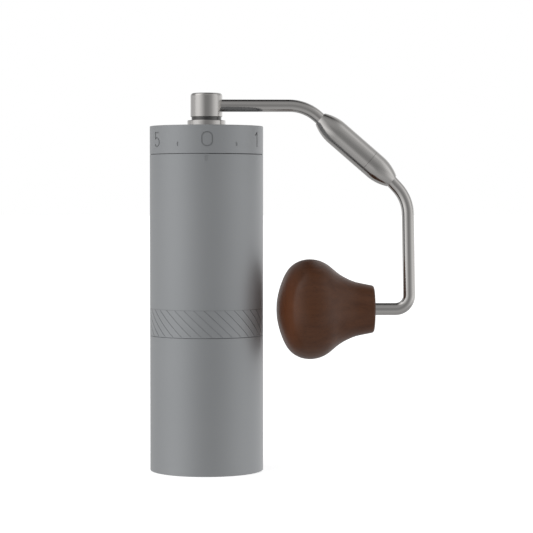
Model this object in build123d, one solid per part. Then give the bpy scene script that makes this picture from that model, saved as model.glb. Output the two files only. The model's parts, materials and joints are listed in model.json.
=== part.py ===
"""Hand crank coffee grinder: slim round body, external adjustment dial, folding crank.

Units are millimetres.  +Z is up, the body axis is Z, the origin is the middle of the
base.  The crank arm lies in the plane Y = 0 and points to +X.  The front is -Y.
"""

import os
from math import cos, radians, sin

from build123d import *

# --- body -----------------------------------------------------------------------------
BODY_R = 27.0
EDGE_ROUND = 0.35
SEAM_ROUND = 0.18
CUP_TOP = 64.8
SEAM = 0.1
BODY_BOTTOM = CUP_TOP + SEAM
BODY_TOP = 150.87
DIAL_BOTTOM = 151.05
DIAL_TOP = 164.4
FIT = 0.05
OVER = 0.1

SPIGOT_R = 25.2
SPIGOT_BOTTOM = 60.0
CHAMBER_R = 23.55
CHAMBER_TOP = 90.0
RELIEF_R = 24.6
RELIEF_BOTTOM = 100.0
RELIEF_TOP = 144.0
NECK_R = 24.6
NECK_TOP = 156.0
KEY_LOW = 145.5
KEY_HIGH = 149.5
KEY_W = 3.0
KEY_IN_R = 20.9
KEY_OUT_R = 24.4
INDEX_Z = 149.0
INDEX_H = 2.9
INDEX_W = 1.5
STRIKE_LOW = 60.2
STRIKE_HIGH = 61.8
RETAINER_BOTTOM = 66.5
RETAINER_NOTCH = 3.0

# --- detent and dial snap ring --------------------------------------------------------
DETENT_ORBIT_R = 23.2
DETENT_HOLE_R = 0.95
DETENT_HOLE_BOTTOM = 149.8
DETENT_BALL_R = 0.9
DETENT_BALL_Z = 155.3
DETENT_ANGLE = 45
DETENT_SPRING_R = 0.62
DETENT_WIRE_R = 0.14
DETENT_TURNS = 6
SNAP_LOW = 153.5
SNAP_HIGH = 154.4
SNAP_RING_R = 25.25
SNAP_DEPTH = 0.6
SNAP_GAP = 4

# --- hopper tube and its bearings -----------------------------------------------------
TUBE_R = 21.8
TUBE_IN_R = 20.6
TUBE_BOTTOM = 94.0
TUBE_TOP = 162.2
LOWER_BEARING_Z = 98.0
UPPER_BEARING_Z = 149.0
BEARING_BORE_R = 4.0
BEARING_R = 8.0
BEARING_H = 5.0
RACE_IN_R = 5.25
RACE_OUT_R = 6.75
BALL_ORBIT_R = 6.0
BALL_R = 1.19
BALL_COUNT = 9
RACE_FIT = 0.05
CAGE_R = 6.55
CAGE_IN_R = 5.45
CAGE_H = 3.4
POCKET_R = BALL_R + 0.07
SHIELD_INSET = 0.15
SHIELD_H = 0.2
SPOKE_COUNT = 3
SPOKE_W = 3.2
SPOKE_IN_R = 9.4
SPOKE_OUT_R = 19.8
SPOKE_INSET = 0.7
BOSS_R = 10.2
BRACKET_RIM = 1.1
BRACKET_LIP = 1.0
BRACKET_HEAD = 1.6
BEARING_CLIP_H = 0.8
BEARING_CLIP_IN_R = 7.2
BEARING_CLIP_GAP = 3

# --- burrs ----------------------------------------------------------------------------
RING_BURR_R = 23.5
RING_BURR_BOTTOM = 70.0
CONE_BOTTOM = 69.2
CONE_TOP = 93.0
COARSE_FLUTES = 7
FINE_TEETH = 35
RING_COARSE_TEETH = 14
RING_FINE_TEETH = 42
# sections of (height, tip radius, root radius, twist)
CONE_COARSE = [
    (77.8, 16.4, 14.6, 0),
    (83, 13.9, 11.6, 18),
    (88, 11.2, 8.6, 36),
    (CONE_TOP, 8.5, 6.3, 54),
]
CONE_FINE = [(CONE_BOTTOM, 19.85, 19.3, 0), (74, 18.2, 17.4, 5), (78, 16.4, 15.6, 10)]
RING_COARSE = [(79.9, 18.2, 16.7, 0), (85, 18.9, 16.4, 6), (CHAMBER_TOP + OVER, 20.2, 17.0, 12)]
RING_FINE = [(RING_BURR_BOTTOM - OVER, 20.5, 19.95, 0), (74, 19.2, 18.5, 3), (80, 17.6, 16.8, 6)]
HEX_SEAT_AF = 6.8
HEX_DRIVE_AF = 6.0
HEX_FIT = 0.1

# --- shaft ----------------------------------------------------------------------------
STUD_R = 3.5
STUD_BOTTOM = 63.0
NUT_AF = 11.0
NUT_LOW = 64.2
NUT_HIGH = 68.2
WASHER_R = 9.0
SHAFT_SHOULDER = CONE_TOP + 0.3
SHAFT_ROUND_TOP = 156.0
SHAFT_CLIP_LOW = 154.0
SHAFT_CLIP_HIGH = 154.8
SHAFT_CLIP_R = 5.2
SHAFT_GROOVE_R = 3.6
PRELOAD_R = 4.85
PRELOAD_WIRE_R = 0.4
PRELOAD_TURNS = 2.5
SPRING_FIT = 0.02

# --- adjustment dial ------------------------------------------------------------------
CLICKS_PER_TURN = 60
NUMBER_H = 7.0
NUMBER_Z = 157.8
NUMBER_STROKE = 0.58
ENGRAVE_DEPTH = 0.3
DOT_Z = 155.5
DOT_H = 2.0
DOT_W = 1.3
MARK_TURN = 0.7
DIAL_BORE_R = NECK_R + FIT
DIAL_FLANGE_TOP = 160.4
DIAL_RIM_IN_R = 25.2
DIAL_SNAP_R = 25.4
CLICK_RING_LOW = 156.3
CLICK_RING_HIGH = 157.4
CLICK_RING_FIT = 0.15
DIMPLE_R = 0.9
DIMPLE_OFFSET = 0.5

# --- hatched band ---------------------------------------------------------------------
BAND_TOP = 77.7
BAND_INSET = 0.25
BAND_LINE_W = 0.2
BAND_LINE_DEPTH = 0.12
GROOVE_COUNT = 35
GROOVE_SLANT = 47
GROOVE_LENGTH = 26
GROOVE_W = 0.32
GROOVE_DEPTH = 0.16
GROOVE_PHASE = 1.9

# --- catch cup ------------------------------------------------------------------------
CUP_IN_R = 25.3
CUP_FLOOR = 4.0
PAD_R = 22.5
PAD_H = 2.2
CUP_FOOT = 0.25
COLLAR_BOTTOM = 55.0
COLLAR_TOP = 59.7
COLLAR_IN_R = 20.9
MAGNET_COUNT = 8
MAGNET_ORBIT_R = 23.0
MAGNET_R = 1.75
MAGNET_H = 2.5

# --- lid ------------------------------------------------------------------------------
LID_R = 24.9
LID_BOTTOM = 162.3
LID_TOP = 164.1
LID_ROUND = 0.3
SKIRT_R = 20.2
SKIRT_IN_R = 18.6
SKIRT_BOTTOM = 159.6
SEAL_Z = 160.9
SEAL_R = 0.55
SEAL_ORBIT_R = 19.95
SEAL_GROOVE_R = 19.4
SEAL_GROOVE_H = 1.2
BUSH_R = 9.05
BUSH_TOP_R = 8.85
BUSH_SHOULDER = 167.0
BUSH_TOP = 167.25
BUSH_THREAD_R = 8.0
BUSH_BOTTOM = 160.4
LID_NUT_R = 10.8
LID_NUT_BOTTOM = 160.6
LID_NUT_NOTCH = 2.0

# --- crank ----------------------------------------------------------------------------
HUB_R = 7.55
HUB_BOTTOM = 168.9
HUB_TOP = 180.2
HUB_TOP_ROUND = 1.3
HUB_LOW_ROUND = 0.25
HUB_NECK_R = 5.5
HUB_NECK_BOTTOM = 158.6
HUB_GROOVE_R = 4.7
HUB_GROOVE_LOW = 159.3
HUB_GROOVE_HIGH = 160.1
HUB_CLIP_R = 6.6
HUB_CLIP_GAP = 5
HUB_WASHER_R = 7.1
HUB_WASHER_TOP = HUB_BOTTOM - 0.05
CLIP_PLAY = 0.05
SHAFT_TOP = 175.7
HUB_MAGNET_R = 2.5
HUB_MAGNET_LOW = SHAFT_TOP + 0.3
HUB_MAGNET_HIGH = SHAFT_TOP + 2.3
ROD_R = 2.92
ARM_Z = 174.32
ARM_START_X = 4.4
ARM_BEND_R = 20.2
FOLD_ANGLE = 40.9
FOLD_X = 69.25
FOLD_Z = 155.15
SLEEVE_R = 6.1
SLEEVE_UPPER_END = -19.8
SLEEVE_SEAM = 11.0
SLEEVE_LOWER_END = 25.5
SLEEVE_DOME_R = 22.0
SLEEVE_DOME_L = 10.6
FOLD_SEAM = 0.12
ARM_END = -10.8
ROD_KINK = 24.3
ROD_INSERT = 4.0
ELBOW = (96.25, 129.81)
ELBOW_R = 19.4
CORNER_X = 97.15
CORNER_R = 6.5

# --- swivel inside the sleeve, by distance along the fold axis ------------------------
PIN_START = -8.2
PIN_END = 18.0
BUSHING_START = -5.2
BUSHING_END = 10.6
BUSHING_R = 3.6
CLIP_ROOM_R = 4.4
CLIP_ROOM_END = -5.6
FOLD_CLIP_LOW = -6.7
FOLD_CLIP_HIGH = -6.0
FOLD_CLIP_R = 4.2
CLIP_GROOVE_R = 2.0
SMALL_CLIP_GAP = 3
TRACK_R = 4.85
TRACK_W = 1.3
TRACK_DEPTH = 1.6
STOP_PIN_R = 0.55
STOP_PIN_START = 9.6
STOP_PIN_END = 13.5
FOLD_WASHER_R = 4.0
FOLD_WASHER_SINK = 0.2
FOLD_WASHER_PLAY = 0.04

# --- knob -----------------------------------------------------------------------------
KNOB_Z = 77.1
KNOB_TIP_X = 33.4
KNOB_FACE_X = 80.3
KNOB_MAX_R = 23.9
KNOB_MAX_X = 48.3
KNOB_NECK_R = 11.4
SPINDLE_R = 2.5
SPINDLE_SHOULDER_X = 76.0
SPINDLE_END_X = 48.6
KNOB_BORE_R = 4.5
KNOB_BORE_END_X = 46.5
KNOB_CLIP_LOW = 49.6
KNOB_CLIP_HIGH = 50.3
KNOB_CLIP_R = 4.1
KNOB_WASHER_LOW = 50.35
KNOB_WASHER_HIGH = 50.75
KNOB_WASHER_R = 4.2
KNOB_SLEEVE_START = 50.9
KNOB_FACE_ROUND = 1.2


def rod(radius, low, high):
    """A solid cylinder on the Z axis between two heights."""
    return Pos(0, 0, low) * extrude(Circle(radius), high - low)


def ring(outer, inner, low, high):
    """A plain ring on the Z axis between two heights."""
    return Pos(0, 0, low) * extrude(Circle(outer) - Circle(inner), high - low)


def turned(points):
    """A body turned about Z from a closed outline of (radius, height) points."""
    return revolve(Plane.XZ * make_face(Polyline(*points, close=True)), Axis.Z)


def hexagon(across_flats, low, high):
    """A hexagonal bar on the Z axis between two heights."""
    face = RegularPolygon(across_flats / 2, 6, major_radius=False)
    return Pos(0, 0, low) * extrude(face, high - low)


def around(shape, count, start=0.0):
    """Copies of a shape spaced evenly about Z."""
    return [Rot(0, 0, start + 360 * k / count) * shape for k in range(count)]


def split_ring(outer, inner, low, high, gap):
    """An open snap ring on the Z axis, its gap towards +X."""
    slot = Pos((outer + inner) / 2, 0, (low + high) / 2) * Box(outer, gap, high - low + 1)
    return ring(outer, inner, low, high) - slot


def round_rims(shape, radius, low_size, high_size):
    """Round the lowest and the highest circular edge of one radius."""
    for end, size in ((0, low_size), (-1, high_size)):
        circles = shape.edges().filter_by(GeomType.CIRCLE)
        rims = ShapeList([e for e in circles if abs(e.radius - radius) < 1e-6])
        shape = fillet(rims.sort_by(Axis.Z)[end], size)
    return shape


# --- catch cup ------------------------------------------------------------------------
def catch_cup():
    shell = turned(
        [
            (PAD_R, CUP_FOOT),
            (BODY_R, CUP_FOOT),
            (BODY_R, CUP_TOP),
            (CUP_IN_R, CUP_TOP),
            (CUP_IN_R, CUP_FLOOR),
            (0, CUP_FLOOR),
            (0, PAD_H),
            (PAD_R, PAD_H),
        ]
    )
    return round_rims(shell, BODY_R, EDGE_ROUND, SEAM_ROUND)


def base_pad():
    return rod(PAD_R - 0.1, 0, PAD_H)


def cup_collar():
    collar = ring(CUP_IN_R, COLLAR_IN_R, COLLAR_BOTTOM, COLLAR_TOP)
    pocket = Pos(MAGNET_ORBIT_R, 0, 0) * rod(MAGNET_R, COLLAR_TOP - MAGNET_H, COLLAR_TOP)
    return collar - around(pocket, MAGNET_COUNT)


def cup_magnets():
    magnet = Pos(MAGNET_ORBIT_R, 0, 0) * rod(MAGNET_R, COLLAR_TOP - MAGNET_H, COLLAR_TOP)
    return Compound(children=around(magnet, MAGNET_COUNT))


# --- housing --------------------------------------------------------------------------
def hatch_grooves():
    """Slanting grooves that run down to the right across the band."""
    middle = (BODY_BOTTOM + BAND_TOP) / 2
    tilt = Rot(GROOVE_SLANT - 90, 0, 0)
    slab = Pos(BODY_R, 0, middle) * tilt * Box(2, GROOVE_LENGTH, GROOVE_W)
    skin = ring(BODY_R + OVER, BODY_R - GROOVE_DEPTH, BODY_BOTTOM + BAND_INSET, BAND_TOP)
    return [groove & skin for groove in around(slab, GROOVE_COUNT, GROOVE_PHASE - 90)]


def outer_body():
    shell = turned(
        [
            (CHAMBER_R, SPIGOT_BOTTOM),
            (SPIGOT_R, SPIGOT_BOTTOM),
            (SPIGOT_R, BODY_BOTTOM),
            (BODY_R, BODY_BOTTOM),
            (BODY_R, BODY_TOP),
            (NECK_R, BODY_TOP),
            (NECK_R, NECK_TOP),
            (TUBE_R + FIT, NECK_TOP),
            (TUBE_R + FIT, RELIEF_TOP),
            (RELIEF_R, RELIEF_TOP),
            (RELIEF_R, RELIEF_BOTTOM),
            (TUBE_R + FIT, RELIEF_BOTTOM),
            (TUBE_R + FIT, CHAMBER_TOP),
            (CHAMBER_R, CHAMBER_TOP),
        ]
    )
    shell = round_rims(shell, BODY_R, SEAM_ROUND, SEAM_ROUND)
    shell -= ring(NECK_R + OVER, NECK_R - SNAP_DEPTH, SNAP_LOW - OVER, SNAP_HIGH + OVER)
    shell -= ring(BODY_R + OVER, BODY_R - BAND_LINE_DEPTH, BAND_TOP, BAND_TOP + BAND_LINE_W)
    shell -= hatch_grooves()
    ball_hole = Pos(DETENT_ORBIT_R, 0, 0) * rod(DETENT_HOLE_R, DETENT_HOLE_BOTTOM, NECK_TOP)
    shell -= around(ball_hole, 2, DETENT_ANGLE)
    shell -= guide_keys()
    index = Plane.XZ * Pos(0, INDEX_Z) * SlotOverall(INDEX_H, INDEX_W, rotation=90)
    shell -= extrude(Pos(0, -BODY_R + ENGRAVE_DEPTH, 0) * index, 2)
    return shell


def guide_keys():
    """Two keys in the body wall that stop the hopper tube from turning."""
    length = KEY_OUT_R - KEY_IN_R
    middle = (KEY_OUT_R + KEY_IN_R) / 2
    key = Pos(middle, 0, (KEY_LOW + KEY_HIGH) / 2) * Box(length, KEY_W, KEY_HIGH - KEY_LOW)
    return Compound(children=around(key, 2, 90))


def detent_balls():
    ball = Pos(DETENT_ORBIT_R, 0, DETENT_BALL_Z) * Sphere(DETENT_BALL_R)
    return Compound(children=around(ball, 2, DETENT_ANGLE))


def coil(radius, wire_r, low, high, turns):
    """A round-wire compression spring on the Z axis between two heights."""
    height = high - low - 2 * wire_r
    helix = Helix(pitch=height / turns, height=height, radius=radius)
    section = Plane(origin=helix @ 0, z_dir=helix % 0) * Circle(wire_r)
    return Pos(0, 0, low + wire_r) * sweep(section, path=helix, is_frenet=True)


def detent_springs():
    top = DETENT_BALL_Z - DETENT_BALL_R - SPRING_FIT
    spring = coil(DETENT_SPRING_R, DETENT_WIRE_R, DETENT_HOLE_BOTTOM, top, DETENT_TURNS)
    return Compound(children=around(Pos(DETENT_ORBIT_R, 0, 0) * spring, 2, DETENT_ANGLE))


def dial_snap_ring():
    return split_ring(SNAP_RING_R, NECK_R - SNAP_DEPTH + FIT, SNAP_LOW, SNAP_HIGH, SNAP_GAP)


def burr_retaining_ring():
    body = ring(CHAMBER_R, COLLAR_IN_R, RETAINER_BOTTOM, RING_BURR_BOTTOM)
    notch = Box(RETAINER_NOTCH, RETAINER_NOTCH, RETAINER_NOTCH)
    return body - around(Pos(COLLAR_IN_R, 0, RETAINER_BOTTOM) * notch, 4, 45)


def strike_ring():
    return ring(CHAMBER_R, COLLAR_IN_R, STRIKE_LOW, STRIKE_HIGH)


# --- burrs ----------------------------------------------------------------------------
def toothed(sections, teeth):
    """A toothed cone lofted through sections of (height, tip radius, root radius, twist)."""
    faces = []
    for height, tip, root, twist in sections:
        points = []
        for k in range(teeth):
            angle = radians(twist + 360 * k / teeth)
            points.append((tip * cos(angle), tip * sin(angle)))
            angle += radians(250 / teeth)
            points.append((root * cos(angle), root * sin(angle)))
        faces.append(Pos(0, 0, height) * make_face(Polyline(*points, close=True)))
    return loft(faces, ruled=True)


def cone_burr():
    coarse = toothed(CONE_COARSE, COARSE_FLUTES)
    fine = toothed(CONE_FINE, FINE_TEETH)
    return fine + coarse - hexagon(HEX_SEAT_AF + HEX_FIT, CONE_BOTTOM - 1, CONE_TOP + 1)


def ring_burr():
    blank = rod(RING_BURR_R, RING_BURR_BOTTOM, CHAMBER_TOP)
    return blank - toothed(RING_FINE, RING_FINE_TEETH) - toothed(RING_COARSE, RING_COARSE_TEETH)


# --- dial -----------------------------------------------------------------------------
def stroke(*edges):
    """A line of the numbers' stroke width along some edges."""
    return Sketch() + [trace(edge, NUMBER_STROKE) for edge in edges]


def outline_zero():
    h = NUMBER_H
    s = NUMBER_STROKE
    return RectangleRounded(5.4, h, 2.55) - RectangleRounded(5.4 - 2 * s, h - 2 * s, 2.55 - s)


def outline_one():
    h = NUMBER_H / 2
    return stroke(Line((0.5, -h), (0.5, h)), Line((0.5, h - 0.2), (-1.2, h - 1.6)))


def outline_two():
    h = NUMBER_H / 2
    bowl = ThreePointArc((-1.9, h - 2.0), (0.1, h - 0.3), (1.95, h - 2.0))
    tail = ThreePointArc((1.95, h - 2.0), (1.2, -0.2), (-0.3, -1.7))
    foot = Line((-2.1, -h + 0.3), (2.1, -h + 0.3))
    return stroke(bowl, tail, Line((-0.3, -1.7), (-2.0, -h + 0.2)), foot)


def outline_three():
    h = NUMBER_H / 2
    top = ThreePointArc((-1.6, h - 1.3), (1.75, h - 1.7), (-0.1, 0.2))
    low = ThreePointArc((-0.1, 0.2), (2.0, -1.7), (-1.9, -h + 1.5))
    return stroke(top, low)


def outline_four():
    h = NUMBER_H / 2
    return stroke(
        Line((1.1, -h), (1.1, h)),
        Line((1.1, h - 0.2), (-2.1, -1.4)),
        Line((-2.2, -1.4), (2.2, -1.4)),
    )


def outline_five():
    h = NUMBER_H / 2
    bowl = ThreePointArc((-1.55, 0.15), (2.0, -1.3), (-1.9, -h + 1.3))
    return stroke(Line((1.7, h - 0.3), (-1.75, h - 0.3)), Line((-1.5, h - 0.3), (-1.6, 0.1)), bowl)


NUMBERS = [outline_zero, outline_one, outline_two, outline_three, outline_four, outline_five]


def engraving(outline, height, azimuth):
    """A cutter for a flat outline on the side of the dial, azimuth from the front."""
    face = Plane.XZ * Pos(0, height) * outline
    cutter = extrude(Pos(0, -BODY_R + 2, 0) * face, 4)
    skin = ring(BODY_R + OVER, BODY_R - ENGRAVE_DEPTH, DIAL_BOTTOM, DIAL_TOP)
    return Rot(0, 0, azimuth) * (cutter & skin)


def dial_ring():
    body = turned(
        [
            (DIAL_BORE_R, DIAL_BOTTOM),
            (BODY_R, DIAL_BOTTOM),
            (BODY_R, DIAL_TOP),
            (DIAL_RIM_IN_R, DIAL_TOP),
            (DIAL_RIM_IN_R, DIAL_FLANGE_TOP),
            (TUBE_R + FIT, DIAL_FLANGE_TOP),
            (TUBE_R + FIT, CLICK_RING_HIGH),
            (DIAL_BORE_R, CLICK_RING_HIGH),
        ]
    )
    body = round_rims(body, BODY_R, SEAM_ROUND, EDGE_ROUND)
    body -= ring(DIAL_SNAP_R, DIAL_BORE_R - OVER, SNAP_LOW - OVER, SNAP_HIGH + OVER)
    dot = SlotOverall(DOT_H, DOT_W, rotation=90)
    step = 360 / len(NUMBERS)
    for k, outline in enumerate(NUMBERS):
        body -= engraving(outline(), NUMBER_Z, MARK_TURN + step * k)
        body -= engraving(dot, DOT_Z, MARK_TURN + step * (k + 0.5))
    return body


def click_ring():
    """A hardened ring with one shallow dimple for each click."""
    plate = ring(DIAL_BORE_R, TUBE_R + CLICK_RING_FIT, CLICK_RING_LOW, CLICK_RING_HIGH)
    dimple = Pos(DETENT_ORBIT_R, 0, CLICK_RING_LOW - DIMPLE_OFFSET) * Sphere(DIMPLE_R)
    return plate - around(dimple, CLICKS_PER_TURN, DETENT_ANGLE)


# --- carrier --------------------------------------------------------------------------
def hopper_tube():
    low, high = KEY_LOW - OVER, KEY_HIGH + 1.5
    middle = (TUBE_R + TUBE_IN_R) / 2
    slot = Pos(middle, 0, (low + high) / 2) * Box(4, KEY_W + 2 * FIT, high - low)
    return ring(TUBE_R, TUBE_IN_R, TUBE_BOTTOM, TUBE_TOP) - around(slot, 2, 90)


def bracket(bearing_z):
    """A three-spoke bracket whose boss holds a bearing, pressed into the tube."""
    low, high = bearing_z - BRACKET_LIP, bearing_z + BEARING_H + BRACKET_HEAD
    rim = ring(TUBE_IN_R, TUBE_IN_R - BRACKET_RIM, low, high)
    middle = Pos((SPOKE_IN_R + SPOKE_OUT_R) / 2, 0, (low + high) / 2)
    spoke = middle * Box(SPOKE_OUT_R - SPOKE_IN_R, SPOKE_W, high - low - 2 * SPOKE_INSET)
    body = rim + around(spoke, SPOKE_COUNT, 30) + rod(BOSS_R, low, high)
    body -= rod(RACE_OUT_R + SHIELD_INSET, low, bearing_z)
    body -= rod(BEARING_R, bearing_z, high)
    groove_z = bearing_z + BEARING_H
    return body - ring(BEARING_R + 0.5, BEARING_R - OVER, groove_z, groove_z + BEARING_CLIP_H)


def upper_bracket():
    return bracket(UPPER_BEARING_Z)


def lower_bracket():
    return bracket(LOWER_BEARING_Z)


def bearing_clips():
    """The two open rings that hold the bearings in their bosses."""
    clips = []
    for z in (LOWER_BEARING_Z, UPPER_BEARING_Z):
        low = z + BEARING_H
        high = low + BEARING_CLIP_H
        clips.append(split_ring(BEARING_R + 0.45, BEARING_CLIP_IN_R, low, high, BEARING_CLIP_GAP))
    return Compound(children=clips)


def raceway(z):
    """The round groove that the balls run in."""
    return Pos(0, 0, z + BEARING_H / 2) * Torus(BALL_ORBIT_R, BALL_R + RACE_FIT)


def bearing_outer_ring(z):
    return ring(BEARING_R, RACE_OUT_R, z, z + BEARING_H) - raceway(z)


def bearing_inner_ring(z):
    return ring(RACE_IN_R, BEARING_BORE_R, z, z + BEARING_H) - raceway(z)


def bearing_balls(z):
    ball = Pos(BALL_ORBIT_R, 0, z + BEARING_H / 2) * Sphere(BALL_R)
    return Compound(children=around(ball, BALL_COUNT))


def bearing_cage(z):
    middle = z + BEARING_H / 2
    pocket = Pos(BALL_ORBIT_R, 0, middle) * Rot(0, 90, 0) * Cylinder(POCKET_R, 3)
    body = ring(CAGE_R, CAGE_IN_R, middle - CAGE_H / 2, middle + CAGE_H / 2)
    return body - around(pocket, BALL_COUNT)


def bearing_shields():
    """Four thin washers that close both sides of both bearings."""
    shields = []
    for z in (LOWER_BEARING_Z, UPPER_BEARING_Z):
        for low in (z + SHIELD_INSET, z + BEARING_H - SHIELD_INSET - SHIELD_H):
            shields.append(ring(RACE_OUT_R, RACE_IN_R + 0.15, low, low + SHIELD_H))
    return Compound(children=shields)


# --- shaft ----------------------------------------------------------------------------
def drive_shaft():
    shaft = rod(STUD_R, STUD_BOTTOM, CONE_BOTTOM)
    shaft += hexagon(HEX_SEAT_AF, CONE_BOTTOM, SHAFT_SHOULDER)
    shaft += rod(BEARING_BORE_R, SHAFT_SHOULDER, SHAFT_ROUND_TOP)
    shaft += hexagon(HEX_DRIVE_AF, SHAFT_ROUND_TOP, SHAFT_TOP)
    return shaft - ring(BEARING_BORE_R + OVER, SHAFT_GROOVE_R, SHAFT_CLIP_LOW, SHAFT_CLIP_HIGH)


def shaft_clip():
    return split_ring(SHAFT_CLIP_R, SHAFT_GROOVE_R, SHAFT_CLIP_LOW, SHAFT_CLIP_HIGH, 4)


def preload_spring():
    low, high = CONE_TOP + SPRING_FIT, LOWER_BEARING_Z - SPRING_FIT
    return coil(PRELOAD_R, PRELOAD_WIRE_R, low, high, PRELOAD_TURNS)


def burr_washer():
    return ring(WASHER_R, STUD_R + FIT, NUT_HIGH, CONE_BOTTOM)


def burr_nut():
    return hexagon(NUT_AF, NUT_LOW, NUT_HIGH) - rod(STUD_R, NUT_LOW, NUT_HIGH)


# --- lid ------------------------------------------------------------------------------
def lid():
    plate = ring(LID_R, BUSH_THREAD_R, LID_BOTTOM, LID_TOP)
    plate = round_rims(plate, LID_R, LID_ROUND, LID_ROUND)
    skirt = ring(SKIRT_R, SKIRT_IN_R, SKIRT_BOTTOM, LID_BOTTOM)
    low, high = SEAL_Z - SEAL_GROOVE_H / 2, SEAL_Z + SEAL_GROOVE_H / 2
    return plate + skirt - ring(SKIRT_R + OVER, SEAL_GROOVE_R, low, high)


def lid_seal():
    return Pos(0, 0, SEAL_Z) * Torus(SEAL_ORBIT_R, SEAL_R)


def lid_bushing():
    return turned(
        [
            (HUB_NECK_R + FIT, BUSH_BOTTOM),
            (BUSH_THREAD_R, BUSH_BOTTOM),
            (BUSH_THREAD_R, LID_TOP),
            (BUSH_R, LID_TOP),
            (BUSH_R, BUSH_SHOULDER),
            (BUSH_TOP_R, BUSH_TOP),
            (HUB_NECK_R + FIT, BUSH_TOP),
        ]
    )


def hub_washer():
    return ring(HUB_WASHER_R, HUB_NECK_R + FIT, BUSH_TOP, HUB_WASHER_TOP)


def lid_nut():
    body = ring(LID_NUT_R, BUSH_THREAD_R, LID_NUT_BOTTOM, LID_BOTTOM)
    notch = Pos(LID_NUT_R, 0, LID_NUT_BOTTOM) * Box(LID_NUT_NOTCH, LID_NUT_NOTCH, LID_NUT_NOTCH)
    return body - around(notch, 2)


# --- crank ----------------------------------------------------------------------------
FOLD_DIR = (cos(radians(FOLD_ANGLE)), 0, -sin(radians(FOLD_ANGLE)))
FOLD_PLANE = Plane(origin=(FOLD_X, 0, FOLD_Z), x_dir=(0, 1, 0), z_dir=FOLD_DIR)


def on_fold_axis(distance):
    """A point of the fold axis, measured from its reference point."""
    return (FOLD_X + distance * FOLD_DIR[0], 0, FOLD_Z + distance * FOLD_DIR[2])


def bent_rod(points, radii):
    """A round rod along straight runs joined by arcs."""
    path = FilletPolyline(*points, radius=radii)
    section = Plane(origin=path @ 0, z_dir=path % 0) * Circle(ROD_R)
    return sweep(section, path=path)


def crank_arm():
    reach = (FOLD_Z - ARM_Z) / FOLD_DIR[2]
    corner = on_fold_axis(-reach)
    return bent_rod([(ARM_START_X, 0, ARM_Z), corner, on_fold_axis(ARM_END)], [ARM_BEND_R])


def crank_hub():
    hub = turned(
        [
            (0, HUB_NECK_BOTTOM),
            (HUB_NECK_R, HUB_NECK_BOTTOM),
            (HUB_NECK_R, HUB_BOTTOM),
            (HUB_R, HUB_BOTTOM),
            (HUB_R, HUB_TOP),
            (0, HUB_TOP),
        ]
    )
    hub = round_rims(hub, HUB_R, HUB_LOW_ROUND, HUB_TOP_ROUND)
    hub -= hexagon(HEX_DRIVE_AF + HEX_FIT, HUB_NECK_BOTTOM, HUB_MAGNET_LOW)
    hub -= hub_magnet()
    hub -= ring(HUB_NECK_R + OVER, HUB_GROOVE_R, HUB_GROOVE_LOW, HUB_GROOVE_HIGH)
    return hub - crank_arm()


def hub_magnet():
    return rod(HUB_MAGNET_R, HUB_MAGNET_LOW, HUB_MAGNET_HIGH)


def lid_retaining_clip():
    low, high = HUB_GROOVE_LOW + CLIP_PLAY, HUB_GROOVE_HIGH - CLIP_PLAY
    return split_ring(HUB_CLIP_R, HUB_GROOVE_R, low, high, HUB_CLIP_GAP)


def sleeve_outline(low, high):
    """The half outline of the swivel sleeve between two stations, domed at each free end."""
    drop = SLEEVE_DOME_R - (SLEEVE_DOME_R**2 - SLEEVE_DOME_L**2) ** 0.5
    end_r = SLEEVE_R - drop
    if high < SLEEVE_LOWER_END:
        start = (end_r, low)
        joint = (SLEEVE_R, low + SLEEVE_DOME_L)
        dome = TangentArc(joint, start, tangent=(0, -1))
        side = Line(joint, (SLEEVE_R, high))
        end = (SLEEVE_R, high)
    else:
        start = (SLEEVE_R, low)
        joint = (SLEEVE_R, high - SLEEVE_DOME_L)
        side = Line(start, joint)
        dome = TangentArc(joint, (end_r, high), tangent=(0, 1))
        end = (end_r, high)
    axis = Polyline(end, (0, high), (0, low), start)
    return make_face(Curve() + [dome, side, axis])


def sleeve_body(low, high):
    return revolve(Plane.XZ * sleeve_outline(low, high), Axis.Z)


def fold_sleeve():
    body = sleeve_body(SLEEVE_UPPER_END, SLEEVE_SEAM)
    body -= rod(CLIP_ROOM_R, ARM_END, CLIP_ROOM_END)
    body -= rod(BUSHING_R, CLIP_ROOM_END, SLEEVE_SEAM)
    bottom = SLEEVE_SEAM - TRACK_DEPTH
    track = ring(TRACK_R + TRACK_W / 2, TRACK_R - TRACK_W / 2, bottom, SLEEVE_SEAM)
    half = Pos(0, SLEEVE_R / 2, SLEEVE_SEAM) * Box(2 * SLEEVE_R, SLEEVE_R, 2 * TRACK_DEPTH + 1)
    track_end = Pos(TRACK_R, 0, 0) * rod(TRACK_W / 2, bottom, SLEEVE_SEAM)
    body -= track & half
    body -= around(track_end, 2)
    return FOLD_PLANE * body - crank_arm()


def fold_bush():
    return FOLD_PLANE * ring(BUSHING_R, SPINDLE_R + FIT, BUSHING_START, BUSHING_END)


def fold_cap():
    low = SLEEVE_SEAM + FOLD_SEAM
    body = sleeve_body(low, SLEEVE_LOWER_END)
    body -= rod(FOLD_WASHER_R, low, low + FOLD_WASHER_SINK)
    body -= rod(SPINDLE_R, low, PIN_END)
    body -= Pos(TRACK_R, 0, 0) * rod(STOP_PIN_R, low, STOP_PIN_END)
    return FOLD_PLANE * body - crank_lower_rod()


def fold_pin():
    groove = ring(SPINDLE_R + OVER, CLIP_GROOVE_R, FOLD_CLIP_LOW, FOLD_CLIP_HIGH)
    return FOLD_PLANE * (rod(SPINDLE_R, PIN_START, PIN_END) - groove)


def fold_clip():
    clip = split_ring(FOLD_CLIP_R, CLIP_GROOVE_R, FOLD_CLIP_LOW, FOLD_CLIP_HIGH, SMALL_CLIP_GAP)
    return FOLD_PLANE * clip


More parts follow.
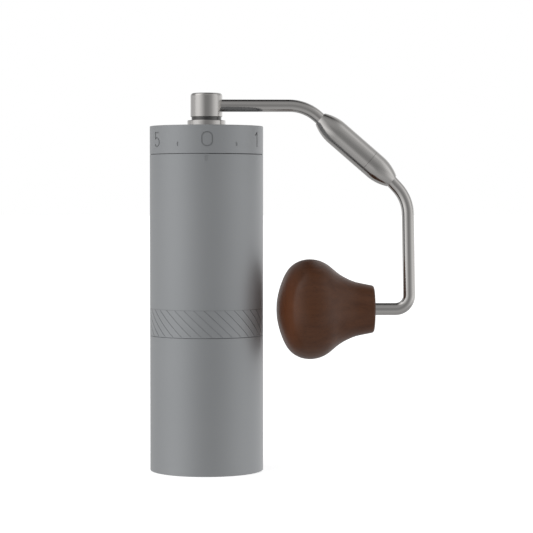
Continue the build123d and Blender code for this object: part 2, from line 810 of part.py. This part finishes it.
def fold_washer():
    low = SLEEVE_SEAM + FOLD_WASHER_PLAY
    high = SLEEVE_SEAM + FOLD_SEAM + FOLD_WASHER_SINK
    return FOLD_PLANE * ring(FOLD_WASHER_R, SPINDLE_R, low, high)


def fold_stop_pin():
    return FOLD_PLANE * Pos(TRACK_R, 0, 0) * rod(STOP_PIN_R, STOP_PIN_START, STOP_PIN_END)


# --- lower crank and knob -------------------------------------------------------------
KNOB_PLANE = Plane(origin=(0, 0, KNOB_Z), x_dir=(0, 1, 0), z_dir=(1, 0, 0))


def crank_lower_rod():
    kink = Vector(*on_fold_axis(ROD_KINK))
    elbow = Vector(ELBOW[0], 0, ELBOW[1])
    start = kink - (elbow - kink).normalized() * ROD_INSERT
    points = [start, elbow, (CORNER_X, 0, KNOB_Z), (SPINDLE_SHOULDER_X, 0, KNOB_Z)]
    spindle = rod(SPINDLE_R, SPINDLE_END_X, SPINDLE_SHOULDER_X)
    spindle -= ring(SPINDLE_R + OVER, CLIP_GROOVE_R, KNOB_CLIP_LOW, KNOB_CLIP_HIGH)
    return bent_rod(points, [ELBOW_R, CORNER_R]) + KNOB_PLANE * spindle


def knob_clip():
    clip = split_ring(KNOB_CLIP_R, CLIP_GROOVE_R, KNOB_CLIP_LOW, KNOB_CLIP_HIGH, SMALL_CLIP_GAP)
    return KNOB_PLANE * clip


def knob_washer():
    return KNOB_PLANE * ring(KNOB_WASHER_R, SPINDLE_R, KNOB_WASHER_LOW, KNOB_WASHER_HIGH)


def knob_sleeve():
    body = ring(KNOB_BORE_R, SPINDLE_R + FIT, KNOB_SLEEVE_START, KNOB_FACE_X - 0.2)
    return KNOB_PLANE * (body - rod(ROD_R + FIT, SPINDLE_SHOULDER_X - OVER, KNOB_FACE_X))


def knob():
    """A pear-shaped wooden grip turned about its spindle."""
    side = Spline(
        (0, KNOB_TIP_X),
        (13.2, 36.0),
        (20.5, 40.35),
        (KNOB_MAX_R, KNOB_MAX_X),
        (21.5, 57.6),
        (16.9, 63.4),
        (13.8, 69.2),
        (KNOB_NECK_R, KNOB_FACE_X - KNOB_FACE_ROUND),
        tangents=[(1, 0), (-0.2, 1)],
    )
    corner = (KNOB_NECK_R - KNOB_FACE_ROUND, KNOB_FACE_X - 0.15)
    edge = TangentArc(side @ 1, corner, tangent=side % 1)
    face = Polyline(edge @ 1, (0, KNOB_FACE_X), (0, KNOB_TIP_X))
    body = revolve(Plane.XZ * make_face(Curve() + [side, edge, face]), Axis.Z)
    return KNOB_PLANE * (body - rod(KNOB_BORE_R, KNOB_BORE_END_X, KNOB_FACE_X + 1))


NODES = {
    "catch_cup": catch_cup,
    "base_pad": base_pad,
    "cup_collar": cup_collar,
    "cup_magnets": cup_magnets,
    "outer_body": outer_body,
    "guide_keys": guide_keys,
    "detent_balls": detent_balls,
    "detent_springs": detent_springs,
    "dial_snap_ring": dial_snap_ring,
    "burr_retaining_ring": burr_retaining_ring,
    "strike_ring": strike_ring,
    "ring_burr": ring_burr,
    "dial_ring": dial_ring,
    "click_ring": click_ring,
    "hopper_tube": hopper_tube,
    "upper_bracket": upper_bracket,
    "lower_bracket": lower_bracket,
    "bearing_clips": bearing_clips,
    "bearing_shields": bearing_shields,
    "upper_bearing_outer_ring": lambda: bearing_outer_ring(UPPER_BEARING_Z),
    "lower_bearing_outer_ring": lambda: bearing_outer_ring(LOWER_BEARING_Z),
    "upper_bearing_inner_ring": lambda: bearing_inner_ring(UPPER_BEARING_Z),
    "lower_bearing_inner_ring": lambda: bearing_inner_ring(LOWER_BEARING_Z),
    "upper_bearing_balls": lambda: bearing_balls(UPPER_BEARING_Z),
    "lower_bearing_balls": lambda: bearing_balls(LOWER_BEARING_Z),
    "upper_bearing_cage": lambda: bearing_cage(UPPER_BEARING_Z),
    "lower_bearing_cage": lambda: bearing_cage(LOWER_BEARING_Z),
    "drive_shaft": drive_shaft,
    "shaft_clip": shaft_clip,
    "preload_spring": preload_spring,
    "cone_burr": cone_burr,
    "burr_washer": burr_washer,
    "burr_nut": burr_nut,
    "lid": lid,
    "lid_seal": lid_seal,
    "lid_bushing": lid_bushing,
    "lid_nut": lid_nut,
    "hub_washer": hub_washer,
    "crank_hub": crank_hub,
    "hub_magnet": hub_magnet,
    "lid_retaining_clip": lid_retaining_clip,
    "crank_arm": crank_arm,
    "fold_sleeve": fold_sleeve,
    "fold_bush": fold_bush,
    "fold_cap": fold_cap,
    "fold_pin": fold_pin,
    "fold_clip": fold_clip,
    "fold_washer": fold_washer,
    "fold_stop_pin": fold_stop_pin,
    "crank_lower_rod": crank_lower_rod,
    "knob_clip": knob_clip,
    "knob_washer": knob_washer,
    "knob_sleeve": knob_sleeve,
    "knob": knob,
}

os.makedirs("parts", exist_ok=True)
for name, make in NODES.items():
    export_step(make(), f"parts/{name}.step")
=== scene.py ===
"""Looks of the hand crank coffee grinder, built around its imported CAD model.

Every visible CAD node keeps its shape and gets a procedural material. The stage is a pale floor in a
plain studio, and the camera stands in front of the grinder, a little above its middle. All lengths are
in metres.
"""

import json
from math import pi

import bpy
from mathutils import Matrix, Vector


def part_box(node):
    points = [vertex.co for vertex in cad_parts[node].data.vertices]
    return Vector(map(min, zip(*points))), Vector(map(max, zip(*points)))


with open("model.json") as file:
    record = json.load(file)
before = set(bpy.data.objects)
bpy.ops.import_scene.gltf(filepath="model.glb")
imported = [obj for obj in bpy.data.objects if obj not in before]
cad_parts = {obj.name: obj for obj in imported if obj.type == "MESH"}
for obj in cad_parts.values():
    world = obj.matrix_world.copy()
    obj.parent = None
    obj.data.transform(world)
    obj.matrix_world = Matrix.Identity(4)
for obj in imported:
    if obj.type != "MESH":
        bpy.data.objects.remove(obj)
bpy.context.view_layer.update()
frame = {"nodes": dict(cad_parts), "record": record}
nodes = frame["nodes"]
slot_of = {row["node"]: row["material_slot"] for row in frame["record"]["subparts"]}

# the studio ------------------------------------------------------------------------------------
CAMERA_AT = (0.0, -0.972, 0.1298)
CAMERA_AIM = (0.02863, 0.0, 0.09757)
CAMERA_LENS = 137.4
SENSOR_WIDTH = 36.0
FLOOR_SIZE = 30.0
FLOOR_TONE = 0.9
FLOOR_GLOW = 0.67
BACKDROP = (1.0, 1.0, 1.0)
STUDIO_LEVEL = 1.08
# light by angle round the X axis: 0 is the camera's side, 90 is overhead, 180 is behind, -90 is the floor
ROUND_GLOW = [
    (-180, 0.42),
    (-120, 0.45),
    (-85, 0.42),
    (-45, 0.52),
    (-20, 0.37),
    (0, 0.30),
    (12, 0.32),
    (35, 0.42),
    (60, 0.42),
    (82, 0.30),
    (97, 0.04),
    (145, 0.05),
    (168, 0.36),
    (180, 0.42),
]
# extra light of the two side boxes by compass angle: 0 is the camera's side, 90 is the right
# both boxes lean away from the camera's side towards their tops, by SIDE_TILT radians per unit of height
SIDE_GLOW = [
    (-179, 0.0),
    (-155, 0.26),
    (-115, 0.20),
    (-93, 0.48),
    (-72, 0.73),
    (-55, 0.74),
    (-39, 0.50),
    (-24, 0.24),
    (-8, 0.0),
    (12, 0.0),
    (35, 0.13),
    (50, 0.36),
    (67, 0.56),
    (85, 0.58),
    (107, 0.44),
    (155, 0.62),
    (179, 0.0),
]
SIDE_TILT = 0.44
# the boxes fade out straight ahead and straight behind, towards the floor and towards the ceiling
SIDE_FADE_AHEAD = (0.05, 0.22)
SIDE_FADE_FLOOR = (-0.6, -0.2)
SIDE_FADE_CEILING = (0.75, 0.95)
# a soft round light high on the left: the X and Z of its direction, its rim as the cosines of two angles
# from its middle, and its level
HIGH_LIGHT_X = -0.55
HIGH_LIGHT_Z = 0.835
HIGH_LIGHT_RIM = (0.86, 0.96)
HIGH_LIGHT_LEVEL = 0.6

# the engraved marks ----------------------------------------------------------------------------
dial_low, dial_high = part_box("dial_ring")
cup_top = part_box("catch_cup")[1].z
BODY_R = dial_high.x
# metal that lies this far under the outside is the wall or the floor of a mark
MARK_DEPTH = 0.00006
# each band's lowest and highest point, and how light its marks are beside the plain metal: the hatch
# grooves and the index mark are painted shade, the numbers are partly their own etched tone and partly
# painted shade
HATCH_BAND = (cup_top + 0.0008, cup_top + 0.0134)
HATCH_PAINTED_SHADE = 0.76
INDEX_BAND = (dial_low.z - 0.0041, dial_low.z - 0.0005)
INDEX_PAINTED_SHADE = 0.95
NUMBER_BAND = (dial_low.z + 0.0024, dial_high.z - 0.0024)
NUMBER_TONE_AND_SHADE = 0.80
NUMBER_COUNT = 6
# painted shade: the marks get darker over this stretch of X, towards the side that faces the folded knob
MARK_PAINTED_SHADE_FROM_TO = (0.016, 0.023)
MARK_PAINTED_SHADE = 0.5

# the metals and the wood -----------------------------------------------------------------------
# greys are given by their level and their warmth, other colours by red, green, blue and 1
# a SCALE is a noise's fineness, an EDGE is where a noise begins and ends to show, a SHARE is how much of it
BODY_DARK = (0.366, -0.034)
BODY_LIGHT = (0.386, -0.030)
BODY_CLOUD_SCALE = 18
BODY_CLOUD_EDGE = (0.3, 0.7)
BODY_SPECK = (0.47, -0.02)
BODY_SPECK_SCALE = 2600
BODY_SPECK_EDGE = (0.35, 0.7)
BODY_SPECK_SHARE = 0.10
MARK_LEVEL = 0.38
MARK_WARMTH = -0.032
BODY_METAL = 0.6
BODY_ROUGH = (0.52, 0.60)
BODY_SEAL = 0.5
BODY_SEAL_ROUGH = 0.4
BODY_GRAIN_DEPTH = 0.00002
STEEL_DARK = (0.47, 0.03)
STEEL_LIGHT = (0.54, 0.025)
STEEL_ROUGH = (0.13, 0.19)
STEEL_CLOUD_SCALE = 60
STEEL_GRAIN_SCALE = 4200
STEEL_GRAIN_DEPTH = 0.00001
TURNED_SHADE = 0.86
TURNED_CLOUD_SCALE = 120
TURNED_RING_DEPTH = 0.000008
# radians from one ring to the next
RING_TURN = 6.283
MOULDED_SHADE = 0.8
MOULDED_CLOUD_SCALE = 150
MOULDED_GRAIN_DEPTH = 0.00003
WOOD_DARK = (0.080, 0.0272, 0.0105, 1)
WOOD_LIGHT = (0.116, 0.0418, 0.0166, 1)
WOOD_GRAIN_SCALE = (38, 260, 260)
WOOD_GRAIN_EDGE = (0.35, 0.65)
WOOD_PATCH = (0.132, 0.050, 0.0212, 1)
WOOD_PATCH_SCALE = (14, 42, 42)
WOOD_PATCH_EDGE = (0.35, 0.7)
WOOD_PATCH_SHARE = 0.45
WOOD_PORE = (0.022, 0.009, 0.006, 1)
WOOD_PORE_SCALE = (420, 3200, 3200)
WOOD_PORE_EDGE = (0.30, 0.42)
WOOD_PORE_SHARE = 0.35
WOOD_PORE_DEPTH = -0.6
WOOD_ROUGH = (0.46, 0.56)
WOOD_GRAIN_DEPTH = 0.00004
LACQUER = 0.42
LACQUER_ROUGH = 0.24
# painted light: the knob's domed end, which faces the body when folded and lies in its shade, is painted
# lighter over this depth
WOOD_PAINTED_LIGHT = (0.222, 0.074, 0.029, 1)
KNOB_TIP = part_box("knob")[0].x
PAINTED_LIGHT_DEPTH = 0.012


class Nodes:
    """A node tree, with short ways to add nodes and join them."""

    def __init__(self, tree):
        self.tree = tree

    def add(self, kind, **settings):
        """Adds a node with the given properties."""
        node = self.tree.nodes.new(kind)
        for key, value in settings.items():
            setattr(node, key, value)
        return node

    def join(self, source, target):
        self.tree.links.new(source, target)

    def feed(self, socket, value):
        """Gives a socket a number, a colour or another node's output."""
        if isinstance(value, bpy.types.NodeSocket):
            self.join(value, socket)
        else:
            socket.default_value = value

    def math(self, operation, a, b=0.0):
        """The outcome of a sum on one or two values."""
        node = self.add("ShaderNodeMath", operation=operation)
        self.feed(node.inputs[0], a)
        self.feed(node.inputs[1], b)
        return node.outputs[0]

    def ramp(self, value, low, high, from_low=0.0, from_high=1.0):
        """Maps a value onto a range, clamped."""
        node = self.add("ShaderNodeMapRange")
        self.join(value, node.inputs["Value"])
        node.inputs["From Min"].default_value = from_low
        node.inputs["From Max"].default_value = from_high
        node.inputs["To Min"].default_value = low
        node.inputs["To Max"].default_value = high
        return node.outputs["Result"]

    def profile(self, angle, stops):
        """A level that follows (degrees, level) stops as an angle in radians goes round."""
        share = self.ramp(angle, 0.0, 1.0, -pi, pi)
        node = self.add("ShaderNodeValToRGB")
        self.join(share, node.inputs[0])
        elements = node.color_ramp.elements
        elements.remove(elements[1])
        for k, (degrees, level) in enumerate(stops):
            stop = elements[0] if k == 0 else elements.new(1.0)
            stop.position = (degrees + 180) / 360
            stop.color = (level, level, level, 1)
        return node.outputs["Color"]


class Shader(Nodes):
    """A material and its surface shader."""

    def __init__(self, name):
        self.material = bpy.data.materials.new(name)
        self.material.use_nodes = True
        super().__init__(self.material.node_tree)
        self.surface = self.tree.nodes["Principled BSDF"]
        self.place = self.add("ShaderNodeTexCoord").outputs["Object"]

    def set(self, **values):
        """Sets the surface's own sockets, with _ for a space in a name."""
        for key, value in values.items():
            self.feed(self.surface.inputs[key.replace("_", " ")], value)

    def stretched(self, scale):
        """The piece's own coordinates, scaled along each axis."""
        node = self.add("ShaderNodeMapping")
        self.join(self.place, node.inputs["Vector"])
        node.inputs["Scale"].default_value = scale
        return node.outputs["Vector"]

    def noise(self, scale, detail=2.0, where=None, roughness=0.5, distortion=0.0):
        """Cloudy noise between 0 and 1."""
        node = self.add("ShaderNodeTexNoise")
        self.join(where or self.place, node.inputs["Vector"])
        node.inputs["Scale"].default_value = scale
        node.inputs["Detail"].default_value = detail
        node.inputs["Roughness"].default_value = roughness
        node.inputs["Distortion"].default_value = distortion
        return node.outputs["Fac"]

    def mix(self, share, a, b):
        """Colour a where the share is 0, colour b where it is 1."""
        node = self.add("ShaderNodeMix", data_type="RGBA")
        self.feed(node.inputs["Factor"], share)
        self.feed(node.inputs[6], a)
        self.feed(node.inputs[7], b)
        return node.outputs[2]

    def bump(self, height, distance, strength):
        """Grain of the given depth on the surface."""
        node = self.add("ShaderNodeBump")
        node.inputs["Distance"].default_value = distance
        node.inputs["Strength"].default_value = strength
        self.join(height, node.inputs["Height"])
        self.join(node.outputs["Normal"], self.surface.inputs["Normal"])

    def xyz(self):
        """The piece's own coordinates, one by one."""
        parts = self.add("ShaderNodeSeparateXYZ")
        self.join(self.place, parts.inputs[0])
        return parts.outputs

    def reach_and_height(self):
        """The distance from the body's axis, and the height."""
        x, y, z = self.xyz()
        square = self.math("ADD", self.math("POWER", x, 2), self.math("POWER", y, 2))
        return self.math("SQRT", square), z

    def repeats(self, count):
        """1 around each of a number of directions spaced evenly about the axis, 0 between them."""
        x, y = self.xyz()[:2]
        turn = self.math("ARCTAN2", x, self.math("MULTIPLY", y, -1.0))
        wave = self.math("COSINE", self.math("MULTIPLY", turn, count))
        return self.math("GREATER_THAN", wave, 0.0)

    def along_x(self):
        """The distance to the right of the body's axis."""
        return self.xyz()[0]

    def inside(self, value, low, high):
        """1 where a value lies between two limits, 0 elsewhere."""
        above = self.math("GREATER_THAN", value, low)
        return self.math("MULTIPLY", above, self.math("LESS_THAN", value, high))


def grey(level, warmth=0.0):
    """A grey with a little more red and less blue, or the other way round if the warmth is negative."""
    return (level * (1 + warmth), level, level * (1 - warmth), 1)


def anodised_aluminium(name, marks=(), marks_round=0):
    """Bead-blasted, grey anodised aluminium with a thin seal coat.

    Engraved marks in each (band of height, tone) are painted darker, as painted shade and for the numbers
    partly their own etched tone, with the painted shade deepening towards the knob's side: all round, or
    only around marks_round evenly spaced directions.
    """
    s = Shader(name)
    cloud = s.ramp(s.noise(BODY_CLOUD_SCALE, 3), 0.0, 1.0, *BODY_CLOUD_EDGE)
    speck = s.noise(BODY_SPECK_SCALE, 2)
    tone = s.mix(cloud, grey(*BODY_DARK), grey(*BODY_LIGHT))
    tone = s.mix(s.ramp(speck, 0.0, BODY_SPECK_SHARE, *BODY_SPECK_EDGE), tone, grey(*BODY_SPECK))
    if marks:
        reach, height = s.reach_and_height()
        cut = s.math("LESS_THAN", reach, BODY_R - MARK_DEPTH)
        if marks_round:
            cut = s.math("MULTIPLY", cut, s.repeats(marks_round))
    # the marks in each band are painted darker inside their recess: painted shade, and for the numbers
    # partly their own etched tone
    for band, share in marks:
        zone = s.math("MULTIPLY", cut, s.inside(height, *band))
        level = MARK_LEVEL * share
        # painted shade: the marks are darker towards the side that faces the folded knob
        painted_shade_share = s.ramp(s.along_x(), 0.0, 1.0, *MARK_PAINTED_SHADE_FROM_TO)
        mark_tone_and_shade = s.mix(painted_shade_share, grey(level, MARK_WARMTH), grey(level * MARK_PAINTED_SHADE, MARK_WARMTH))
        tone = s.mix(zone, tone, mark_tone_and_shade)
    s.set(Base_Color=tone, Metallic=BODY_METAL, Roughness=s.ramp(speck, *BODY_ROUGH))
    s.set(Coat_Weight=BODY_SEAL, Coat_Roughness=BODY_SEAL_ROUGH)
    s.bump(speck, BODY_GRAIN_DEPTH, 0.35)
    return s.material


def satin_steel():
    """Stainless steel with a fine even grain."""
    s = Shader("satin_steel")
    cloud = s.noise(STEEL_CLOUD_SCALE, 3)
    grain = s.noise(STEEL_GRAIN_SCALE, 2)
    tone = s.mix(cloud, grey(*STEEL_DARK), grey(*STEEL_LIGHT))
    s.set(Base_Color=tone, Metallic=1.0, Roughness=s.ramp(grain, *STEEL_ROUGH))
    s.bump(grain, STEEL_GRAIN_DEPTH, 0.25)
    return s.material


def turned_metal(name, level, warmth, rough, pitch=0.0004, colour=None):
    """Machined metal with fine rings around the body's axis, grey or of the given colour."""
    s = Shader(name)
    reach, height = s.reach_and_height()
    rings = s.math("SINE", s.math("MULTIPLY", s.math("ADD", reach, height), RING_TURN / pitch))
    cloud = s.noise(TURNED_CLOUD_SCALE, 3)
    light = colour or grey(level, warmth)
    dark = tuple(c * TURNED_SHADE for c in light[:3]) + (1,)
    s.set(Base_Color=s.mix(cloud, light, dark), Metallic=1.0)
    s.set(Roughness=s.ramp(cloud, rough - 0.05, rough + 0.06))
    s.bump(rings, TURNED_RING_DEPTH, 0.3)
    return s.material


def dark_wood():
    """Stained wood with long fine pores along the spindle, under a thin satin lacquer."""
    s = Shader("dark_wood")
    grain = s.noise(1.0, 5, s.stretched(WOOD_GRAIN_SCALE), roughness=0.6, distortion=0.4)
    pores = s.noise(1.0, 2, s.stretched(WOOD_PORE_SCALE))
    patches = s.noise(1.0, 2, s.stretched(WOOD_PATCH_SCALE), distortion=0.8)
    brown = s.mix(s.ramp(grain, 0.0, 1.0, *WOOD_GRAIN_EDGE), WOOD_DARK, WOOD_LIGHT)
    brown = s.mix(s.ramp(patches, 0.0, WOOD_PATCH_SHARE, *WOOD_PATCH_EDGE), brown, WOOD_PATCH)
    # painted light: the end that faces the body is painted lighter, against the shade the body casts on it
    painted_light_share = s.ramp(s.along_x(), 1.0, 0.0, KNOB_TIP, KNOB_TIP + PAINTED_LIGHT_DEPTH)
    brown = s.mix(painted_light_share, brown, WOOD_PAINTED_LIGHT)
    brown = s.mix(s.ramp(pores, WOOD_PORE_SHARE, 0.0, *WOOD_PORE_EDGE), brown, WOOD_PORE)
    s.set(Base_Color=brown, Roughness=s.ramp(grain, *WOOD_ROUGH), Specular_IOR_Level=0.1)
    s.set(Coat_Weight=LACQUER, Coat_Roughness=LACQUER_ROUGH)
    relief = s.math("ADD", grain, s.ramp(pores, WOOD_PORE_DEPTH, 0.0, *WOOD_PORE_EDGE))
    s.bump(relief, WOOD_GRAIN_DEPTH, 0.25)
    return s.material


def moulded(name, colour, rough, grain_scale=1800):
    """Plastic or rubber with the fine grain of its mould."""
    s = Shader(name)
    grain = s.noise(grain_scale, 2)
    darker = tuple(c * MOULDED_SHADE for c in colour) + (1,)
    s.set(Base_Color=s.mix(s.noise(MOULDED_CLOUD_SCALE, 2), colour + (1,), darker))
    s.set(Roughness=s.ramp(grain, rough - 0.06, rough + 0.06))
    s.bump(grain, MOULDED_GRAIN_DEPTH, 0.4)
    return s.material


# turned metals by level, warmth, roughness and the pitch of their rings, moulded ones by colour,
# roughness and the fineness of their grain
MATERIALS = {
    "grey_aluminium": anodised_aluminium("grey_aluminium"),
    "plain_aluminium": turned_metal("plain_aluminium", 0.62, 0.0, 0.36),
    "satin_steel": satin_steel(),
    "burr_steel": turned_metal("burr_steel", 0.40, 0.0, 0.30, 0.0003),
    "turned_steel": turned_metal("turned_steel", 0.50, 0.01, 0.28),
    "spring_steel": turned_metal("spring_steel", 0.24, -0.02, 0.34),
    "bearing_steel": turned_metal("bearing_steel", 0.60, 0.0, 0.14),
    "magnet": turned_metal("magnet", 0.55, 0.01, 0.20),
    "black_steel": turned_metal("black_steel", 0.12, 0.01, 0.20),
    "brass": turned_metal("brass", 0.5, 0.0, 0.30, colour=(0.62, 0.42, 0.16, 1)),
    "nylon": moulded("nylon", (0.72, 0.70, 0.64), 0.5),
    "silicone": moulded("silicone", (0.035, 0.035, 0.038), 0.62, 900),
    "dark_wood": dark_wood(),
}
BODY_MARKS = ((HATCH_BAND, HATCH_PAINTED_SHADE), (INDEX_BAND, INDEX_PAINTED_SHADE))
# the six numbers are darker, partly their own etched tone and partly painted shade, and the dots between
# them are left plain
DIAL_MARKS = ((NUMBER_BAND, NUMBER_TONE_AND_SHADE),)
MARKED = {
    "outer_body": anodised_aluminium("grey_aluminium_body", BODY_MARKS),
    "dial_ring": anodised_aluminium("grey_aluminium_dial", DIAL_MARKS, NUMBER_COUNT),
}


def dress_cad_nodes():
    """Gives every CAD node its slot's material, or its own where it carries marks."""
    for name, piece in nodes.items():
        finish = MARKED.get(name) or MATERIALS[slot_of[name]]
        piece.data.materials.clear()
        piece.data.materials.append(finish)


def stage_floor():
    """A plain pale floor that the grinder stands on, which no piece mirrors or is lit by."""
    mesh = bpy.data.meshes.new("studio_floor")
    half = FLOOR_SIZE / 2
    corners = [(-half, -half, 0), (half, -half, 0), (half, half, 0), (-half, half, 0)]
    mesh.from_pydata(corners, [], [(0, 1, 2, 3)])
    floor = bpy.data.objects.new("studio_floor", mesh)
    bpy.context.scene.collection.objects.link(floor)
    s = Shader("studio_floor")
    s.set(Base_Color=grey(FLOOR_TONE), Roughness=0.9, Specular_IOR_Level=0.0)
    s.set(Emission_Color=(1, 1, 1, 1), Emission_Strength=FLOOR_GLOW)
    mesh.materials.append(s.material)
    floor.visible_glossy = False
    floor.visible_diffuse = False


def studio_light():
    """Soft light from all round, two broad boxes beside the grinder and a light high on the left."""
    world = bpy.data.worlds.new("studio")
    bpy.context.scene.world = world
    world.use_nodes = True
    world.node_tree.nodes.clear()
    sky = Nodes(world.node_tree)
    parts = sky.add("ShaderNodeSeparateXYZ")
    sky.join(sky.add("ShaderNodeTexCoord").outputs["Generated"], parts.inputs[0])
    x, y, z = parts.outputs
    front = sky.math("MULTIPLY", y, -1.0)
    level = sky.profile(sky.math("ARCTAN2", z, front), ROUND_GLOW)
    compass = sky.math("ARCTAN2", x, front)
    lean = sky.math("SUBTRACT", sky.math("ABSOLUTE", compass), sky.math("MULTIPLY", z, SIDE_TILT))
    sides = sky.profile(sky.math("MULTIPLY", lean, sky.math("SIGN", compass)), SIDE_GLOW)
    sides = sky.math("MULTIPLY", sides, sky.ramp(sky.math("ABSOLUTE", x), 0.0, 1.0, *SIDE_FADE_AHEAD))
    sides = sky.math("MULTIPLY", sides, sky.ramp(z, 0.0, 1.0, *SIDE_FADE_FLOOR))
    sides = sky.math("MULTIPLY", sides, sky.ramp(z, 1.0, 0.0, *SIDE_FADE_CEILING))
    toward = sky.math("ADD", sky.math("MULTIPLY", x, HIGH_LIGHT_X), sky.math("MULTIPLY", z, HIGH_LIGHT_Z))
    high = sky.ramp(toward, 0.0, HIGH_LIGHT_LEVEL, *HIGH_LIGHT_RIM)
    glow = sky.add("ShaderNodeBackground")
    glow.inputs["Color"].default_value = (STUDIO_LEVEL, STUDIO_LEVEL, STUDIO_LEVEL, 1)
    sky.join(sky.math("ADD", level, sky.math("ADD", sides, high)), glow.inputs["Strength"])
    plain = sky.add("ShaderNodeBackground")
    plain.inputs["Color"].default_value = BACKDROP + (1,)
    both = sky.add("ShaderNodeMixShader")
    sky.join(sky.add("ShaderNodeLightPath").outputs["Is Camera Ray"], both.inputs[0])
    sky.join(glow.outputs[0], both.inputs[1])
    sky.join(plain.outputs[0], both.inputs[2])
    sky.join(both.outputs[0], sky.add("ShaderNodeOutputWorld").inputs["Surface"])


def place_camera():
    """The camera in front of the grinder."""
    data = bpy.data.cameras.new("front_camera")
    data.lens = CAMERA_LENS
    data.sensor_width = SENSOR_WIDTH
    camera = bpy.data.objects.new("front_camera", data)
    camera.location = CAMERA_AT
    aim = Vector(CAMERA_AIM) - Vector(CAMERA_AT)
    camera.rotation_euler = aim.to_track_quat("-Z", "Y").to_euler()
    bpy.context.scene.collection.objects.link(camera)
    bpy.context.scene.camera = camera


bpy.context.scene.view_settings.view_transform = "Standard"
dress_cad_nodes()
stage_floor()
studio_light()
place_camera()
